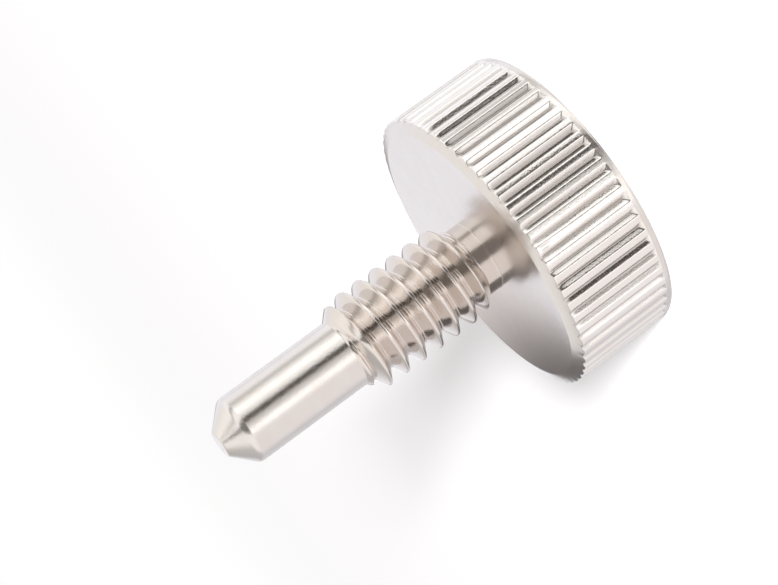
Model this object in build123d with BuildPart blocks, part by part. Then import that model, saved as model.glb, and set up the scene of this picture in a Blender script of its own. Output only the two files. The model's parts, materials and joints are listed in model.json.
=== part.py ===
"""Thumb screw: one turned piece.

A straight-knurled disc head, a short plain neck, a coarse right-hand thread and a long plain
dog point with a coned end. The screw stands on the flat outer face of its head.

Frame: millimetres. The origin is the middle of the head's outer face, and +Z runs along the
screw's axis to the point.
"""
from build123d import *
import os
from math import ceil, radians, tan

# ---------------------------------------------------------------- driving dimensions, mm
HEAD_DIAMETER = 19.05
HEAD_THICKNESS = 7.0
FACE_BEVEL_WIDTH = 0.88        # broad shallow bevel around the seating face, measured across
FACE_BEVEL_DEPTH = 0.30        # the same bevel, measured along the axis
OUTER_BEVEL = 0.15             # edge break around the outer face

KNURL_COUNT = 60
KNURL_DEPTH = 0.28             # 90 degree grooves, so each is twice as wide as it is deep
KNURL_ROOT_RADIUS = 0.07
KNURL_PLAIN_BAND = 0.45        # ungrooved band beside the outer face

NECK_LENGTH = 0.90
NECK_ALLOWANCE = 0.055         # the neck's radius over the thread's root

THREAD_DIAMETER = 6.20
THREAD_PITCH = 1.27
THREAD_LENGTH = 9.20
THREAD_ANGLE = 60.0            # between the flanks, in degrees
THREAD_FLAT = 1 / 9            # crest and root flats, as a share of the pitch
ROOT_TAPER = 0.02              # how much the root's radius falls towards the point
THREAD_RUN_IN = 1.1763         # turns of the helix before the neck's end, from +X
THREAD_RUN_OUT = 0.5           # turns of it, at the least, past the thread's end

POINT_LENGTH = 9.15
POINT_CLEARANCE = 0.025        # the point's radius under the root where they meet
POINT_FLAT_DIAMETER = 1.60     # the small flat that ends the 45 degree cone

OVERCUT = 0.20                 # how far a cutting shape reaches past what it cuts

# ---------------------------------------------------------------- sizes worked out from them
head_radius = HEAD_DIAMETER / 2
thread_radius = THREAD_DIAMETER / 2
thread_flat = THREAD_FLAT * THREAD_PITCH
flank_slope = tan(radians(THREAD_ANGLE / 2))
thread_depth = (THREAD_PITCH - 2 * thread_flat) / (2 * flank_slope)
root_radius = thread_radius - thread_depth
root_end_radius = root_radius - ROOT_TAPER
neck_radius = root_radius + NECK_ALLOWANCE
point_radius = root_end_radius - POINT_CLEARANCE
cone_length = point_radius - POINT_FLAT_DIAMETER / 2

neck_end = HEAD_THICKNESS + NECK_LENGTH
thread_end = neck_end + THREAD_LENGTH
overall_length = thread_end + POINT_LENGTH


# ---------------------------------------------------------------- the turned blank
with BuildPart() as blank:
    with BuildSketch(Plane.XZ):
        with BuildLine():
            Polyline(
                (0, 0),
                (head_radius - OUTER_BEVEL, 0),
                (head_radius, OUTER_BEVEL),
                (head_radius, HEAD_THICKNESS - FACE_BEVEL_DEPTH),
                (head_radius - FACE_BEVEL_WIDTH, HEAD_THICKNESS),
                (neck_radius, HEAD_THICKNESS),
                (neck_radius, neck_end),
                (root_radius, neck_end),
                (root_end_radius, thread_end - (root_end_radius - point_radius)),
                (point_radius, thread_end),
                (point_radius, overall_length - cone_length),
                (POINT_FLAT_DIAMETER / 2, overall_length),
                (0, overall_length),
                close=True,
            )
        make_face()
    revolve(axis=Axis.Z)


# ---------------------------------------------------------------- the knurl's grooves
with BuildSketch() as groove_section:
    with BuildLine():
        Polyline(
            (head_radius - KNURL_DEPTH, 0),
            (head_radius + OVERCUT, KNURL_DEPTH + OVERCUT),
            (head_radius + OVERCUT, -KNURL_DEPTH - OVERCUT),
            close=True,
        )
    make_face()
    fillet(groove_section.vertices().sort_by(Axis.X)[0], radius=KNURL_ROOT_RADIUS)

with BuildPart() as grooves:
    with BuildSketch():
        with PolarLocations(radius=0, count=KNURL_COUNT):
            add(groove_section.sketch)
    extrude(amount=HEAD_THICKNESS + OVERCUT)
    # Each groove's closed end rises at 45 degrees to the plain band.
    with BuildSketch(Plane.XZ):
        with BuildLine():
            Polyline(
                (head_radius + 2 * OVERCUT, KNURL_PLAIN_BAND - 2 * OVERCUT),
                (head_radius + 2 * OVERCUT, HEAD_THICKNESS + 2 * OVERCUT),
                (head_radius - KNURL_DEPTH - OVERCUT, HEAD_THICKNESS + 2 * OVERCUT),
                (head_radius - KNURL_DEPTH - OVERCUT, KNURL_PLAIN_BAND + KNURL_DEPTH + OVERCUT),
                close=True,
            )
        make_face()
    revolve(axis=Axis.Z, mode=Mode.INTERSECT)


# ---------------------------------------------------------------- the thread's ridge
ridge_start = neck_end - THREAD_RUN_IN * THREAD_PITCH
ridge_turns = ceil((thread_end - ridge_start) / THREAD_PITCH + THREAD_RUN_OUT)
ridge_inner = root_radius - OVERCUT / 2
ridge_base = thread_flat / 2 + (thread_radius - ridge_inner) * flank_slope

with BuildPart() as ridge:
    with BuildLine():
        Helix(
            pitch=THREAD_PITCH,
            height=ridge_turns * THREAD_PITCH,
            radius=root_radius,
            center=(0, 0, ridge_start),
        )
    with BuildSketch(Plane.XZ):
        with BuildLine():
            Polyline(
                (ridge_inner, ridge_start - ridge_base),
                (thread_radius, ridge_start - thread_flat / 2),
                (thread_radius, ridge_start + thread_flat / 2),
                (ridge_inner, ridge_start + ridge_base),
                close=True,
            )
        make_face()
    sweep(is_frenet=True)
    # A 45 degree cone ends the ridge at each end: one rises from the neck, one falls to the point.
    with BuildSketch(Plane.XZ):
        with BuildLine():
            Polyline(
                (ridge_inner - OVERCUT, neck_end),
                (neck_radius, neck_end),
                (thread_radius + OVERCUT, neck_end + (thread_radius + OVERCUT - neck_radius)),
                (thread_radius + OVERCUT, thread_end - (thread_radius + OVERCUT - point_radius)),
                (ridge_inner - OVERCUT, thread_end + (point_radius - ridge_inner + OVERCUT)),
                close=True,
            )
        make_face()
    revolve(axis=Axis.Z, mode=Mode.INTERSECT)


# ---------------------------------------------------------------- the finished screw
with BuildPart() as thumb_screw:
    add(blank.part)
    add(grooves.part, mode=Mode.SUBTRACT)
    add(ridge.part)

thumb_screw.part.label = "thumb_screw"

os.makedirs("parts", exist_ok=True)
export_step(thumb_screw.part, "parts/thumb_screw.step")
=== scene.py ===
"""Thumb screw in bright nickel plate, standing on its knurled head on a pale table."""

import json
from math import cos, degrees, pi, radians, sin

import bmesh
import bpy
import numpy as np
from mathutils import Matrix, Vector


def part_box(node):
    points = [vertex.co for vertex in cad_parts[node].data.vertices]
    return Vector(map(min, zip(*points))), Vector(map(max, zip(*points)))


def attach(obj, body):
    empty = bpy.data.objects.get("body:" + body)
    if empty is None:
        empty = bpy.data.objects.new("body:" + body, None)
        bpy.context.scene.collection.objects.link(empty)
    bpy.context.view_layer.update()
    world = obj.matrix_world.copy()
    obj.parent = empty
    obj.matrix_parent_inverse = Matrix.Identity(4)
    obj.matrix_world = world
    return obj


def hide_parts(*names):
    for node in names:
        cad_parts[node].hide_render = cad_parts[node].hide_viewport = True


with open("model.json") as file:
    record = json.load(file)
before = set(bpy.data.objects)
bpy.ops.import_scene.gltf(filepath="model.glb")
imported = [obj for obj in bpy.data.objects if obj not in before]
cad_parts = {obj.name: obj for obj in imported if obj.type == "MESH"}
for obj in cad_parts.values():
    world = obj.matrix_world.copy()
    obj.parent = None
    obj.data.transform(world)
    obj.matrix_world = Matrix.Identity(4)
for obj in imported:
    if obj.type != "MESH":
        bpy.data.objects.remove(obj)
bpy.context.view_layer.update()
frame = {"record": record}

bl_info = {
    "name": "Thumb screw",
    "version": (1, 0, 0),
    "blender": (4, 5, 0),
    "location": "3D View > Sidebar > Thumb screw",
    "description": "A knurled thumb screw with a dog point, its table and its lights",
    "category": "Add Mesh",
}

MM = 0.001
# Points of a mesh that are nearer than this are merged
WELD_GAP = 1e-7
# Well past the part, for the far end of an edge of which only the direction counts
FAR = 1.0
SCREW = "thumb_screw"

MOUNTS = {mount["name"]: mount for mount in frame["record"]["mounts"]}
LOW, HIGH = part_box(SCREW)
HEAD_RADIUS = (HIGH.x - LOW.x) / 2
TIP_HEIGHT = HIGH.z
FACE_HEIGHT = MOUNTS["seating_face"]["pos_m"][2]
POINT_RADIUS = MOUNTS["dog_point"]["dims"]["r_mm"] * MM
THREAD_RADIUS = MOUNTS["thread"]["dims"]["r_mm"] * MM
THREAD_LENGTH = MOUNTS["thread"]["dims"]["length_mm"] * MM
THREAD_START = MOUNTS["thread"]["pos_m"][2] - THREAD_LENGTH / 2
THREAD_STOP = THREAD_START + THREAD_LENGTH


# Profile and mesh helpers


def eased_corner(before, corner, after, reach, steps=4):
    """Points on a small curve that rounds a profile corner, as (radius, height) arrays."""
    values = np.broadcast_arrays(*before, *corner, *after)
    before, corner, after = (np.stack(values[i : i + 2]).astype(float) for i in (0, 2, 4))
    back = before - corner
    ahead = after - corner
    back /= np.linalg.norm(back, axis=0)
    ahead /= np.linalg.norm(ahead, axis=0)
    points = []
    for t in np.linspace(0, 1, steps + 1):
        points.append(corner + back * reach * (1 - t) ** 2 + ahead * reach * t**2)
    return points


def soft_min(a, b, blend):
    """The lower of two values, with the join rounded over the blend length."""
    return (a + b - np.sqrt((a - b) ** 2 + blend**2)) / 2


def soft_max(a, b, blend):
    """The higher of two values, with the join rounded over the blend length."""
    return (a + b + np.sqrt((a - b) ** 2 + blend**2)) / 2


def ring_skin(rows, angles, seam):
    """Points, faces and each face's row of a skin through rows of (radius, height).

    A centre point closes each end. With a seam the last column stands on the first, and the weld
    joins them, so that rows may climb a turn.
    """
    count = len(angles)
    vertices = []
    for radius, height in rows:
        radius = np.broadcast_to(radius, count)
        height = np.broadcast_to(height, count)
        place = (radius * np.cos(angles), radius * np.sin(angles), height)
        vertices.append(np.stack(place, axis=1))
    first = float(np.mean(vertices[0][:, 2]))
    last = float(np.mean(vertices[-1][:, 2]))
    points = np.concatenate([*vertices, [[0, 0, first], [0, 0, last]]])
    column = np.arange(count - 1 if seam else count)
    following = (column + 1) % count
    faces = []
    bands = []
    for band in range(len(rows) - 1):
        here, there = band * count, (band + 1) * count
        corners = (here + column, here + following, there + following, there + column)
        faces.extend(np.stack(corners, axis=1).tolist())
        bands.extend([band] * len(column))
    start_centre = len(rows) * count
    end_row = (len(rows) - 1) * count
    for i, j in zip(column.tolist(), following.tolist()):
        faces.append([j, i, start_centre])
        bands.append(-1)
        faces.append([end_row + i, end_row + j, start_centre + 1])
        bands.append(len(rows))
    return points, faces, bands


def mesh_piece(name, points, faces, zones, materials, sharp_angle):
    """A smooth shaded object from points and faces, with one material for each zone."""
    mesh = bpy.data.meshes.new(name)
    mesh.from_pydata(points.tolist(), [], faces)
    for material in materials:
        mesh.materials.append(material)
    mesh.polygons.foreach_set("material_index", zones)
    mesh.validate()
    weld(mesh)
    mesh.shade_smooth()
    mesh.set_sharp_from_angle(angle=sharp_angle)
    piece = bpy.data.objects.new(name, mesh)
    bpy.context.scene.collection.objects.link(piece)
    return piece


def weld(mesh):
    """Merges points that fall together and drops the faces that close up."""
    work = bmesh.new()
    work.from_mesh(mesh)
    bmesh.ops.remove_doubles(work, verts=work.verts, dist=WELD_GAP)
    bmesh.ops.dissolve_degenerate(work, edges=work.edges, dist=WELD_GAP)
    work.to_mesh(mesh)
    work.free()


# Shader maths


class Wire:
    """A shader socket that works in Python expressions, where an operator adds its Math node."""

    def __init__(self, tree, socket=None):
        self.tree = tree
        self.socket = socket

    def make(self, kind, settings=None, inputs=None, output=0):
        """Adds a node: its settings first, then the values or links of its sockets."""
        node = self.tree.nodes.new(kind)
        for name, value in (settings or {}).items():
            setattr(node, name, value)
        for name, value in (inputs or {}).items():
            socket = node.inputs[name]
            if isinstance(value, Wire):
                self.tree.links.new(value.socket, socket)
            else:
                socket.default_value = value
        return Wire(self.tree, node.outputs[output] if node.outputs else None)

    def sum_of(self, operation, *values):
        """A Math node of that operation on these values."""
        return self.make("ShaderNodeMath", {"operation": operation}, dict(enumerate(values)))

    def __add__(self, other):
        return self.sum_of("ADD", self, other)

    __radd__ = __add__

    def __sub__(self, other):
        return self.sum_of("SUBTRACT", self, other)

    def __rsub__(self, other):
        return self.sum_of("SUBTRACT", other, self)

    def __mul__(self, other):
        return self.sum_of("MULTIPLY", self, other)

    __rmul__ = __mul__

    def __abs__(self):
        return self.sum_of("ABSOLUTE", self)

    def root(self):
        """The square root."""
        return self.sum_of("SQRT", self)

    def fade(self, start, stop, low=0.0, high=1.0):
        """A smooth change from low to high as this value goes from start to stop."""
        settings = {"interpolation_type": "SMOOTHSTEP"}
        span = {"From Min": start, "From Max": stop, "To Min": low, "To Max": high}
        return self.make("ShaderNodeMapRange", settings, {"Value": self, **span})

    def band(self, centre, half_width, soft):
        """One inside a band about the centre and nought outside it, with soft edges."""
        return abs(self - centre).fade(half_width + soft, half_width - soft)

    def parts(self):
        """The x, y and z of this vector."""
        node = self.make("ShaderNodeSeparateXYZ", inputs={"Vector": self}).socket.node
        return [Wire(self.tree, socket) for socket in node.outputs]

    def blend(self, first, second):
        """A number between first and second by this value."""
        sockets = {"Factor": self, 2: first, 3: second}
        return self.make("ShaderNodeMix", {"data_type": "FLOAT"}, sockets)

    def tint(self, first, second):
        """A colour between first and second by this value."""
        sockets = {"Factor": self, 6: first, 7: second}
        return self.make("ShaderNodeMix", {"data_type": "RGBA"}, sockets, 2)

    def noise(self, scale, detail, roughness, dimensions="3D"):
        """Fine noise about this position or value, from nought to one."""
        place = "W" if dimensions == "1D" else "Vector"
        sockets = {place: self, "Scale": scale, "Detail": detail, "Roughness": roughness}
        return self.make("ShaderNodeTexNoise", {"noise_dimensions": dimensions}, sockets)


def fresh_tree(owner):
    """An empty node tree, ready for expressions."""
    owner.use_nodes = True
    owner.node_tree.nodes.clear()
    return Wire(owner.node_tree)


def part_place(tree):
    """Position on the part in millimetres, with its x, its z and its distance from the axis."""
    object_place = tree.make("ShaderNodeTexCoord", output=3)
    sockets = {0: object_place, "Scale": 1 / MM}
    place = tree.make("ShaderNodeVectorMath", {"operation": "SCALE"}, sockets)
    x, y, z = place.parts()
    return place, x, z, (x * x + y * y).root()


# Nickel finishes


# Scale per millimetre, detail and roughness of each noise
COARSE_MARKS = (7.0, 3.0, 0.6)
FINE_MARKS = (38.0, 2.0, 0.5)
CLOUD = (0.9, 3.0, 0.55)
GRAIN = (9.0, 2.5, 0.65)
# How much the turning marks move on along the axis for each step outwards
MARKS_SLANT = 0.71
# Height of the finest relief
RELIEF = 0.01 * MM

# marks is the depth of the turning marks, speckle that of the fine grain, and spread is how much
# the roughness varies
TURNED = {"marks": 0.06, "speckle": 0.25, "anisotropy": 0.5, "roughness": 0.2, "spread": 0.06}
KNURLED = {"marks": 0.1, "speckle": 1.1, "anisotropy": 0.0, "roughness": 0.1, "spread": 0.12}
THREADED = {"marks": 0.12, "speckle": 0.4, "anisotropy": 0.1, "roughness": 0.11, "spread": 0.08}
POINT = {"marks": 0.12, "speckle": 0.8, "anisotropy": 0.4, "roughness": 0.16, "spread": 0.12}


def nickel(name, finish, tone, surface, paint_knurl_shade=False):
    """Nickel plate of that tone and surface, darkened by painted shade down in the knurl's grooves
    on request.
    """
    material = bpy.data.materials.new(name)
    tree = fresh_tree(material)
    place, _, z, radius = part_place(tree)
    lathe = radius + z * MARKS_SLANT
    coarse_marks = lathe.noise(*COARSE_MARKS, "1D")
    fine_marks = lathe.noise(*FINE_MARKS, "1D")
    cloud = place.noise(*CLOUD)
    grain = place.noise(*GRAIN)
    warmer = [part * (1 - share) for part, share in zip(tone, finish.warmth)]
    base = cloud.fade(0.3, 0.7).tint((*tone, 1), (*warmer, 1))
    if paint_knurl_shade:
        # Painted shade: deeper down in the knurl's grooves, the plate darkens towards the shade
        # colour
        depth = (HEAD_RADIUS / MM - radius).fade(0.02, 0.30)
        base = (depth * finish.painted_shade_strength).tint(base, (*finish.painted_shade_colour, 1))
    marks, speckle, spread = surface["marks"], surface["speckle"], surface["spread"]
    rough = surface["roughness"] + spread * (grain - 0.5) + spread * (cloud - 0.5)
    rough = rough + marks * 0.6 * (fine_marks - 0.5)
    height = coarse_marks * marks + fine_marks * (marks * 0.5) + grain * speckle
    relief = {"Strength": 1.0, "Distance": RELIEF, "Height": height}
    sockets = {
        "Base Color": base,
        "Metallic": 1.0,
        "Roughness": rough,
        "Anisotropic": surface["anisotropy"],
        "Normal": tree.make("ShaderNodeBump", inputs=relief),
    }
    shader = tree.make("ShaderNodeBsdfPrincipled", inputs=sockets)
    tree.make("ShaderNodeOutputMaterial", inputs={"Surface": shader})
    return material


class FinishSettings(bpy.types.PropertyGroup):
    """Colours of the plating, and of the painted highlight and painted shade on the knurl."""

    plate: bpy.props.FloatVectorProperty(
        name="Plate",
        description="Colour of the bright nickel plate",
        subtype="COLOR",
        default=(0.78, 0.75, 0.725),
        min=0,
        max=1,
    )
    # Painted highlight: the knurl's lands are given a lighter colour than the plate
    land_painted_highlight: bpy.props.FloatVectorProperty(
        name="Lands, painted lighter",
        description="Colour of the knurl's lands, lighter than the plate as a painted highlight",
        subtype="COLOR",
        default=(0.88, 0.86, 0.84),
        min=0,
        max=1,
    )
    # The neck and thread are given a colour a little darker and warmer than the plate
    thread: bpy.props.FloatVectorProperty(
        name="Thread",
        description="Colour of the neck and thread, a little darker and warmer than the plate",
        subtype="COLOR",
        default=(0.76, 0.715, 0.68),
        min=0,
        max=1,
    )
    warmth: bpy.props.FloatVectorProperty(
        name="Warm patches",
        description="Share of red, green and blue that the warmer patches lose",
        default=(0.012, 0.03, 0.045),
        min=0,
        max=1,
    )
    # Painted shade down in the knurl's grooves: the colour it darkens to
    painted_shade_colour: bpy.props.FloatVectorProperty(
        name="Painted shade colour",
        description="Colour of the painted shade down in the knurl's grooves",
        subtype="COLOR",
        default=(0.34, 0.31, 0.29),
        min=0,
        max=1,
    )
    # How strongly the painted shade darkens the knurl's grooves
    painted_shade_strength: bpy.props.FloatProperty(
        name="Painted shade strength",
        description="How far the painted shade darkens the knurl's grooves",
        subtype="FACTOR",
        default=0.75,
        min=0,
        max=1,
    )


class HeadSettings(bpy.types.PropertyGroup):
    """Sizes of the knurled head."""

    grooves: bpy.props.IntProperty(
        name="Grooves",
        description="Number of straight knurl grooves round the rim",
        default=60,
        min=12,
    )
    groove_depth: bpy.props.FloatProperty(
        name="Groove depth",
        description="Depth of a groove below the rim",
        unit="LENGTH",
        default=0.30 * MM,
    )
    groove_round: bpy.props.FloatProperty(
        name="Groove rounding",
        description="Rounding at the bottom of a groove",
        unit="LENGTH",
        default=0.05 * MM,
    )
    land_round: bpy.props.FloatProperty(
        name="Land rounding",
        description="Rounding at the edges of the lands",
        unit="LENGTH",
        default=0.035 * MM,
    )
    unevenness: bpy.props.FloatProperty(
        name="Unevenness",
        description="How much one groove differs from the next",
        subtype="FACTOR",
        default=0.08,
        min=0,
        max=0.3,
    )
    mouth: bpy.props.FloatProperty(
        name="Groove mouth",
        description="Depth of a groove where it meets the bevel, as a share of its full depth",
        subtype="FACTOR",
        default=0.6,
        min=0,
        max=1,
    )
    plain_band: bpy.props.FloatProperty(
        name="Plain band",
        description="Height at which the grooves begin, above the outer face",
        unit="LENGTH",
        default=0.45 * MM,
    )
    outer_edge: bpy.props.FloatProperty(
        name="Outer edge",
        description="Size of the eased edge of the outer face",
        unit="LENGTH",
        default=0.15 * MM,
    )
    bevel_width: bpy.props.FloatProperty(
        name="Bevel width",
        description="Width of the bevel round the seating face",
        unit="LENGTH",
        default=0.88 * MM,
    )
    bevel_drop: bpy.props.FloatProperty(
        name="Bevel drop",
        description="How far the bevel falls from the seating face to the rim",
        unit="LENGTH",
        default=0.30 * MM,
    )


class ShankSettings(bpy.types.PropertyGroup):
    """Sizes of the neck, thread and dog point."""

    neck_radius: bpy.props.FloatProperty(
        name="Neck radius",
        description="Radius of the plain neck under the head",
        unit="LENGTH",
        default=2.30 * MM,
    )
    core_radius: bpy.props.FloatProperty(
        name="Core radius",
        description="Radius at the root of the thread",
        unit="LENGTH",
        default=2.245 * MM,
    )
    pitch: bpy.props.FloatProperty(
        name="Pitch",
        description="Thread pitch",
        unit="LENGTH",
        default=1.27 * MM,
    )
    run_in: bpy.props.FloatProperty(
        name="Run-in",
        description="Turns of the helix before the thread's start, from the +X side",
        default=0.1763,
    )
    crest_flat: bpy.props.FloatProperty(
        name="Crest flat",
        description="Width of the flat along the crest of the thread",
        unit="LENGTH",
        default=0.18 * MM,
    )
    thread_round: bpy.props.FloatProperty(
        name="Thread rounding",
        description="Rounding of the crest and the root",
        unit="LENGTH",
        default=0.045 * MM,
    )
    tip_radius: bpy.props.FloatProperty(
        name="Tip radius",
        description="Radius of the small flat at the end of the point",
        unit="LENGTH",
        default=0.80 * MM,
    )


# The knurled head


# Half of a groove's columns, as distances from its middle
GROOVE_COLUMNS = np.array([0.02, 0.05, 0.09, 0.14, 0.20, 0.25, 0.28, 0.31, 0.34, 0.40]) * MM
# How far a groove may lie to one side of its place
GROOVE_SHIFT = 0.012 * MM
# Rows where the grooves begin, as heights above the plain band
RAMP_ROWS = (-0.16, -0.07, -0.03, 0.0, 0.03, 0.07, 0.11, 0.15, 0.19, 0.23, 0.27, 0.32, 0.39, 0.5)
RAMP = np.array(RAMP_ROWS) * MM
# Rows between that ramp and the bevel, as shares of the height between them
RIM_SHARES = (0.14, 0.3, 0.46, 0.62, 0.78, 0.9, 0.945)
# Rows on the two flat faces, as shares of the rim's radius
OUTER_SHARES = (0.12, 0.3, 0.5, 0.7, 0.85, 0.95)
FACE_SHARES = (0.8, 0.65, 0.5, 0.4, 0.32, 0.28, 0.2)


def head_columns(head):
    """Angle of each column of the head and how deep the knurl is there."""
    random = np.random.default_rng(11)
    tooth = 2 * pi * HEAD_RADIUS / head.grooves
    offsets = np.concatenate((-GROOVE_COLUMNS[::-1], GROOVE_COLUMNS, [tooth / 2]))
    angles = []
    depths = []
    for groove in range(head.grooves):
        depth = head.groove_depth * (1 + head.unevenness * random.uniform(-1, 1))
        shift = GROOVE_SHIFT * random.uniform(-1, 1)
        falls = depth - np.sqrt((offsets - shift) ** 2 + head.groove_round**2)
        depths.append(soft_max(falls, 0.0, head.land_round))
        angles.append(groove * 2 * pi / head.grooves + offsets / HEAD_RADIUS)
    return np.concatenate(angles), np.concatenate(depths)


def head_rows(head, depths):
    """Rows of the head from its outer face to the seating face, and where knurl and bevel start."""
    rim = HEAD_RADIUS
    edge = head.outer_edge
    rows = [(rim * share, 0.0) for share in OUTER_SHARES]
    rows += eased_corner((0.0, 0.0), (rim - edge / 2, 0.0), (rim, edge), edge / 3, 3)
    rows += eased_corner((rim - edge, 0.0), (rim, edge * 0.9), (rim, FAR), edge / 2, 4)
    knurl_start = len(rows) + int(np.sum(RAMP < 0)) - 1
    for above in RAMP:
        rise = soft_max(above, 0.0, 0.05 * MM)
        depth = soft_min(depths, rise, 0.03 * MM).clip(min=0)
        rows.append((rim - depth, head.plain_band + above))
    mouth = depths * head.mouth
    top = FACE_HEIGHT - head.bevel_drop + mouth * head.bevel_drop / head.bevel_width
    low = head.plain_band + RAMP[-1]
    rows += [(rim - depths, low + (top - low) * share) for share in RIM_SHARES]
    inner = (rim - head.bevel_width, FACE_HEIGHT)
    outer = (rim, FACE_HEIGHT - head.bevel_drop)
    rows += eased_corner((rim - depths, low), (rim - mouth, top), inner, 0.06 * MM)
    bevel_start = len(rows) - 1
    across = 0.62
    rows.append(tuple(a + (b - a) * across for a, b in zip(outer, inner)))
    rows += eased_corner(outer, inner, (0.0, FACE_HEIGHT), 0.07 * MM)
    rows += [(rim * share, FACE_HEIGHT) for share in FACE_SHARES]
    return rows, knurl_start, bevel_start


# The nick in one tooth: where it lies, how far it reaches along each axis, and its depth
NICK_TURN = radians(261)
NICK_HEIGHT = FACE_HEIGHT - 0.75 * MM
NICK_REACH = np.array((0.32, 0.32, 0.36)) * MM
NICK_DEPTH = 0.13 * MM


def nick(points):
    """Presses a small dent into the rim, towards the axis."""
    centre = (HEAD_RADIUS * cos(NICK_TURN), HEAD_RADIUS * sin(NICK_TURN), NICK_HEIGHT)
    gap = np.linalg.norm((points - centre) / NICK_REACH, axis=1)
    press = NICK_DEPTH * np.exp(-(gap**2) * 2)
    outward = points * (1, 1, 0)
    outward /= np.linalg.norm(outward, axis=1, keepdims=True).clip(min=1e-9)
    return points - outward * press[:, None]


class ADD_OT_head(bpy.types.Operator):
    """Makes the knurled head with its bevel, lands and grooves"""

    bl_idname = "thumb_screw.head"
    bl_label = "Knurled head"

    def execute(self, context):
        head = context.scene.screw_head
        finish = context.scene.screw_finish
        angles, depths = head_columns(head)
        rows, knurl_start, bevel_start = head_rows(head, depths)
        points, faces, bands = ring_skin(rows, angles, seam=False)
        bands = np.array(bands)
        zones = ((bands >= knurl_start) & (bands < bevel_start)).astype(int)
        materials = [
            nickel("turned_nickel", finish, finish.plate, TURNED),
            # The knurl's plate carries a painted highlight on its lands and painted shade down in
            # its grooves
            nickel("knurled_nickel", finish, finish.land_painted_highlight, KNURLED, paint_knurl_shade=True),
        ]
        piece = mesh_piece("knurled_head", nick(points), faces, zones, materials, radians(50))
        finish_piece(piece)
        return {"FINISHED"}


# The neck, thread and dog point


# Half of the thread's rows, as distances along the axis from the middle of the crest, and the row
# in the middle of the root
CREST_ROWS = (0.0, 0.025, 0.045, 0.06, 0.075, 0.09, 0.11, 0.14)
HALF_THREAD = np.array((*CREST_ROWS, 0.22, 0.34, 0.44, 0.50, 0.53, 0.56, 0.59))
ROOT_ROW = 0.635
FLANK_ANGLE = radians(30)
# How far the shank's mesh starts inside the head
ROOTED = 0.4 * MM


def ridge_start(shank):
    """Height of the middle of the crest on the +X side, before the thread's start."""
    return THREAD_START - shank.pitch * shank.run_in


def thread_rise(shank, angles, heights):
    """Radius of the thread at these angles and heights."""
    turns = (heights - ridge_start(shank)) / shank.pitch - angles / (2 * pi)
    away = np.abs((turns + 0.5) % 1.0 - 0.5) * shank.pitch
    flank = THREAD_RADIUS - (away - shank.crest_flat / 2) / np.tan(FLANK_ANGLE)
    blend = shank.thread_round * 1.6
    shape = soft_max(soft_min(flank, THREAD_RADIUS, blend), shank.core_radius, blend)
    lead = shank.neck_radius + (heights - THREAD_START).clip(min=0)
    tail = POINT_RADIUS + (THREAD_STOP - heights).clip(min=0)
    shape = soft_min(shape, lead, 0.05 * MM)
    return np.minimum(shape, soft_min(shape, tail, 0.06 * MM))


def shank_rows(shank, angles):
    """Rows of the shank from inside the head to the tip, and where the point starts."""
    foot = FACE_HEIGHT
    neck = shank.neck_radius
    rows = [(neck, foot - ROOTED), (neck + 0.04 * MM, foot - 0.01 * MM)]
    rows += eased_corner((FAR, foot), (neck, foot), (neck, FAR), 0.035 * MM)
    rows += [(neck, foot + (THREAD_START - foot) * share) for share in (0.3, 0.6, 0.85, 0.97)]
    rows.append((neck, THREAD_START))
    away = np.concatenate((-HALF_THREAD[:0:-1], HALF_THREAD, [ROOT_ROW])) * MM
    turns = int((THREAD_STOP - ridge_start(shank)) / shank.pitch) + 2
    for turn in range(-1, turns):
        for step in away:
            heights = ridge_start(shank) + shank.pitch * (angles / (2 * pi) + turn) + step
            heights = heights.clip(THREAD_START, THREAD_STOP)
            rows.append((thread_rise(shank, angles, heights), heights))
    point_start = len(rows) - 1
    tip = shank.tip_radius
    cone_start = TIP_HEIGHT - (POINT_RADIUS - tip)
    for share in (0.0, 0.01, 0.2, 0.5, 0.8):
        rows.append((POINT_RADIUS, THREAD_STOP + (cone_start - THREAD_STOP) * share))
    below, shoulder, end = (POINT_RADIUS, 0.0), (POINT_RADIUS, cone_start), (tip, TIP_HEIGHT)
    rows += eased_corner(below, shoulder, end, 0.26 * MM, 8)
    rows += eased_corner(shoulder, end, (0.0, TIP_HEIGHT), 0.13 * MM, 6)
    rows += [(tip * share, TIP_HEIGHT) for share in (0.6, 0.25)]
    return rows, point_start


class ADD_OT_shank(bpy.types.Operator):
    """Makes the neck, the rolled thread and the dog point"""

    bl_idname = "thumb_screw.shank"
    bl_label = "Threaded shank"

    def execute(self, context):
        shank = context.scene.screw_shank
        finish = context.scene.screw_finish
        angles = np.linspace(0, 2 * pi, 145)
        rows, point_start = shank_rows(shank, angles)
        points, faces, bands = ring_skin(rows, angles, seam=True)
        zones = (np.array(bands) >= point_start).astype(int)
        materials = [
            nickel("threaded_nickel", finish, finish.thread, THREADED),
            nickel("point_nickel", finish, finish.plate, POINT),
        ]
        piece = mesh_piece("threaded_shank", points, faces, zones, materials, radians(40))
        finish_piece(piece)
        return {"FINISHED"}


def finish_piece(piece):
    """Ties a piece to the model's root body and hides the solid it stands for."""
    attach(piece, "root")
    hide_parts(SCREW)


# The table, lights and camera


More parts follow.
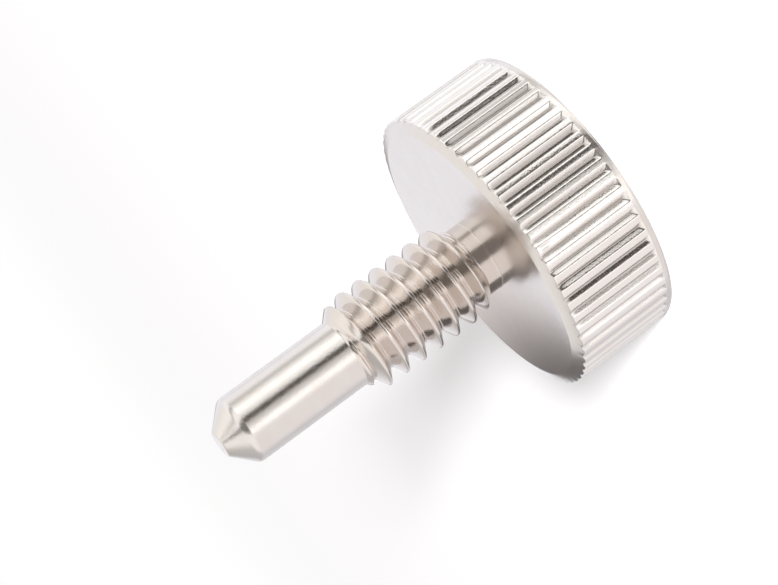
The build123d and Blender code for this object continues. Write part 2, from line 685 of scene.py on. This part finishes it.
class StageSettings(bpy.types.PropertyGroup):
    """The table, the light tent and the camera."""

    table_colour: bpy.props.FloatVectorProperty(
        name="Table",
        description="Colour of the pale table",
        subtype="COLOR",
        default=(0.82, 0.815, 0.83),
        min=0,
        max=1,
    )
    tent_level: bpy.props.FloatProperty(
        name="Tent level",
        description="Brightness of the tent's plain cloth",
        default=1.1,
        min=0,
    )
    room_level: bpy.props.FloatProperty(
        name="Room level",
        description="Brightness of the soft light that reaches the table",
        default=0.44,
        min=0,
    )
    key_power: bpy.props.FloatProperty(
        name="Key power",
        description="Power of the soft lamp that gives the shadow",
        unit="POWER",
        default=11.0,
    )
    aim: bpy.props.FloatVectorProperty(
        name="Aim",
        description="Point that the camera looks at",
        subtype="XYZ",
        unit="LENGTH",
        default=(1.373 * MM, 0.033 * MM, 12.737 * MM),
    )
    distance: bpy.props.FloatProperty(
        name="Distance",
        description="How far the camera stands from its aim",
        unit="LENGTH",
        default=153.561 * MM,
    )
    azimuth: bpy.props.FloatProperty(
        name="Azimuth",
        description="Direction of the camera about the axis",
        subtype="ANGLE",
        default=radians(-88.628),
    )
    elevation: bpy.props.FloatProperty(
        name="Elevation",
        description="How far the camera stands above the level of its aim",
        subtype="ANGLE",
        default=radians(13.913),
    )
    roll: bpy.props.FloatProperty(
        name="Roll",
        description="Turn of the camera about its line of sight",
        subtype="ANGLE",
        default=radians(126.143),
    )
    lens: bpy.props.FloatProperty(
        name="Lens",
        description="Focal length in millimetres",
        default=120.32,
    )


def camera_back(stage):
    """Unit vector from the aim to the camera."""
    level = cos(stage.elevation)
    return Vector((level * cos(stage.azimuth), level * sin(stage.azimuth), sin(stage.elevation)))


# Panels and slots of the tent, as seen from the part: bearing in degrees round from the front,
# half width, softness of the edge, and how much brighter or darker than the plain cloth. The first
# list counts from the part's level down, and the second from a little above it.
LOW_TENT = (
    (55, 10, 5, 0.40),
    (-22, 8, 5, 0.40),
    (18, 10, 5, -1.02),
    (0, 6, 5, -0.40),
    (87, 9, 5, -0.40),
    (-70, 34, 8, -0.12),
    (-132, 24, 14, -0.35),
    (172, 7, 5, -0.75),
    (-164, 5, 4, -0.60),
    (138, 4, 4, -0.30),
)
HIGH_TENT = (
    (48, 12, 6, 0.06),
    (103, 12, 8, 0.05),
    (0, 24, 6, -0.85),
    (77, 7, 5, -0.60),
    (-128, 26, 14, -0.45),
    (180, 50, 20, -0.09),
    (-180, 50, 20, -0.09),
)


TABLE_REACH = 2.0
# Glow that lifts the table's tone for the camera, and where the table fades to white, in mm
TABLE_LIFT = 0.31
TABLE_FADE = (110, 240)
KEY_SIZE = 0.10
KEY_DISTANCE = 0.7
KEY_HEIGHT = 0.20
KEY_TURN = radians(7)
# Corners of the card, and its glow from side to side, all in mm but the glows: a painted reflection
# of the table in shade by the head's rim
CARD = ((-13, 0, 7.2), (-1, 15, 7.2), (-1, 15, 11.2), (-13, 0, 11.2))
CARD_PAINTED_SHADE = (-9.5, -1.5, 0.18, 0.8)


def sheet(name, corners, material):
    """A flat four-sided sheet for the stage."""
    mesh = bpy.data.meshes.new(name)
    mesh.from_pydata(corners, [], [(0, 1, 2, 3)])
    mesh.materials.append(material)
    piece = bpy.data.objects.new(name, mesh)
    bpy.context.scene.collection.objects.link(piece)
    return piece


def ray_is(tree, kind):
    """One for rays of that kind and nought for the others."""
    path = tree.make("ShaderNodeLightPath").socket.node.outputs
    return Wire(tree.tree, path[kind])


class ADD_OT_stage(bpy.types.Operator):
    """Makes the pale table, the light tent, the key lamp and the camera"""

    bl_idname = "thumb_screw.stage"
    bl_label = "Table, lights and camera"

    def execute(self, context):
        stage = context.scene.screw_stage
        self.make_table(stage)
        self.make_tent(context, stage)
        self.make_key(context, stage)
        self.make_shade_reflection()
        self.make_camera(context, stage)
        return {"FINISHED"}

    def make_table(self, stage):
        """A pale table that shows as white to the camera, apart from the part's shadow."""
        material = bpy.data.materials.new("pale_table")
        tree = fresh_tree(material)
        seen = ray_is(tree, "Is Camera Ray")
        glossy = ray_is(tree, "Is Glossy Ray")
        cloth = tree.make("ShaderNodeBsdfDiffuse", inputs={"Color": (*stage.table_colour, 1)})
        white = {"Color": (1, 1, 1, 1)}
        lift = tree.make("ShaderNodeEmission", inputs={**white, "Strength": TABLE_LIFT * seen})
        near = tree.make("ShaderNodeAddShader", inputs={0: cloth, 1: lift})
        far = tree.make("ShaderNodeEmission", inputs={**white, "Strength": 1.0})
        _, _, _, radius = part_place(tree)
        away = radius.fade(*TABLE_FADE)
        shown = tree.make("ShaderNodeMixShader", inputs={0: away * seen, 1: near, 2: far})
        clear = tree.make("ShaderNodeBsdfTransparent")
        both = tree.make("ShaderNodeMixShader", inputs={0: glossy, 1: shown, 2: clear})
        tree.make("ShaderNodeOutputMaterial", inputs={"Surface": both})
        signs = ((-1, -1), (1, -1), (1, 1), (-1, 1))
        corners = [(x * TABLE_REACH, y * TABLE_REACH, 0) for x, y in signs]
        table = sheet("table", corners, material)

    def make_tent(self, context, stage):
        """A light tent: white to the camera, and cloth with soft panels and slots to the metal."""
        world = bpy.data.worlds.new("light_tent")
        context.scene.world = world
        tree = fresh_tree(world)
        direction = tree.make("ShaderNodeTexCoord")
        towards = (cos(stage.azimuth), sin(stage.azimuth), 0)
        across = (-sin(stage.azimuth), cos(stage.azimuth), 0)
        dot = {"operation": "DOT_PRODUCT"}
        fore = tree.make("ShaderNodeVectorMath", dot, {0: direction, 1: towards}, 1)
        side = tree.make("ShaderNodeVectorMath", dot, {0: direction, 1: across}, 1)
        bearing = tree.sum_of("ARCTAN2", side, fore) * degrees(1)
        level = stage.tent_level
        up = direction.parts()[2]
        rise = up.fade(-0.06, 0.14)
        for parts, share in ((LOW_TENT, 1 - rise), (HIGH_TENT, rise)):
            for centre, half_width, soft, change in parts:
                level = bearing.band(centre, half_width, soft) * (change * share) + level
        seen = ray_is(tree, "Is Camera Ray")
        level = ray_is(tree, "Is Diffuse Ray").blend(level, stage.room_level)
        strength = seen.blend(level, 1.0)
        # Warmer to one side, cooler behind, warmer again overhead, and brown in the dark slots
        overhead = up.fade(0.35, 0.6)
        cloth_tone = side.fade(0.1, -0.8).tint((1.0, 0.985, 0.965, 1), (1.0, 0.955, 0.95, 1))
        cloth_tone = fore.fade(0.1, -0.7).tint(cloth_tone, (0.985, 0.985, 1.04, 1))
        cloth_tone = overhead.tint(cloth_tone, (1.0, 0.975, 0.95, 1))
        lit = (overhead * 0.55 + level).fade(0.1, 0.95)
        shaded = lit.tint((1.0, 0.90, 0.84, 1), cloth_tone)
        colour = seen.tint(shaded, (1, 1, 1, 1))
        cloth = tree.make("ShaderNodeBackground", inputs={"Color": colour, "Strength": strength})
        tree.make("ShaderNodeOutputWorld", inputs={"Surface": cloth})

    def make_key(self, context, stage):
        """A soft low lamp in front, a little to the +X side, that the metal doesn't reflect."""
        data = bpy.data.lights.new("key", "AREA")
        data.shape = "DISK"
        data.size = KEY_SIZE
        data.energy = stage.key_power
        key = bpy.data.objects.new("key", data)
        bearing = stage.azimuth + KEY_TURN
        key.location = (KEY_DISTANCE * cos(bearing), KEY_DISTANCE * sin(bearing), KEY_HEIGHT)
        aim = Vector((0, 0, 10 * MM))
        key.rotation_euler = (key.location - aim).to_track_quat("Z", "Y").to_euler()
        key.visible_glossy = False
        context.scene.collection.objects.link(key)

    def make_shade_reflection(self):
        """A card beside the head, dim by its rim: a painted reflection of the table in shade there,
        for the fall of tone across the seating face.

        Only the metal sees it.
        """
        material = bpy.data.materials.new("grey_card")
        tree = fresh_tree(material)
        _, x, _, _ = part_place(tree)
        # Painted reflection of shade: the card glows dimmer towards the head's rim on the -X side
        sockets = {"Color": (1, 0.94, 0.94, 1), "Strength": x.fade(*CARD_PAINTED_SHADE)}
        tone = tree.make("ShaderNodeEmission", inputs=sockets)
        tree.make("ShaderNodeOutputMaterial", inputs={"Surface": tone})
        card = sheet("grey_card", [Vector(corner) * MM for corner in CARD], material)
        for sight in ("camera", "diffuse", "shadow", "transmission"):
            setattr(card, f"visible_{sight}", False)

    def make_camera(self, context, stage):
        """The camera, rolled so that the screw lies with its point to the lower left."""
        back = camera_back(stage)
        right = Vector((0, 0, 1)).cross(back).normalized()
        up = back.cross(right)
        turn = Matrix.Rotation(-stage.roll, 3, back)
        right, up = turn @ right, turn @ up
        data = bpy.data.cameras.new("camera")
        data.lens = stage.lens
        data.sensor_width = 36
        data.clip_start = 0.005
        data.clip_end = 10
        camera = bpy.data.objects.new("camera", data)
        spin = Matrix((right, up, back)).transposed().to_4x4()
        camera.matrix_world = Matrix.Translation(Vector(stage.aim) + back * stage.distance) @ spin
        context.scene.collection.objects.link(camera)
        context.scene.camera = camera
        context.scene.view_settings.view_transform = "Standard"


class VIEW3D_PT_thumb_screw(bpy.types.Panel):
    """Lists the steps of the build and their settings"""

    bl_label = "Thumb screw"
    bl_idname = "VIEW3D_PT_thumb_screw"
    bl_space_type = "VIEW_3D"
    bl_region_type = "UI"
    bl_category = "Thumb screw"

    def draw(self, context):
        for operator, settings in STEPS:
            self.layout.operator(operator.bl_idname)
            group = getattr(context.scene, settings)
            for name in group.bl_rna.properties.keys():
                if name not in ("rna_type", "name"):
                    self.layout.prop(group, name)


GROUPS = {
    "screw_finish": FinishSettings,
    "screw_head": HeadSettings,
    "screw_shank": ShankSettings,
    "screw_stage": StageSettings,
}
STEPS = (
    (ADD_OT_head, "screw_head"),
    (ADD_OT_shank, "screw_shank"),
    (ADD_OT_stage, "screw_stage"),
)


def register():
    for name, group in GROUPS.items():
        bpy.utils.register_class(group)
        setattr(bpy.types.Scene, name, bpy.props.PointerProperty(type=group))
    for operator, _ in STEPS:
        bpy.utils.register_class(operator)
    bpy.utils.register_class(VIEW3D_PT_thumb_screw)


def unregister():
    bpy.utils.unregister_class(VIEW3D_PT_thumb_screw)
    for operator, _ in reversed(STEPS):
        bpy.utils.unregister_class(operator)
    for name, group in reversed(GROUPS.items()):
        delattr(bpy.types.Scene, name)
        bpy.utils.unregister_class(group)


def main():
    """Builds the screw and its stage."""
    register()
    bpy.ops.thumb_screw.head()
    bpy.ops.thumb_screw.shank()
    bpy.ops.thumb_screw.stage()
    bpy.context.view_layer.update()


if __name__ == "__main__":
    main()
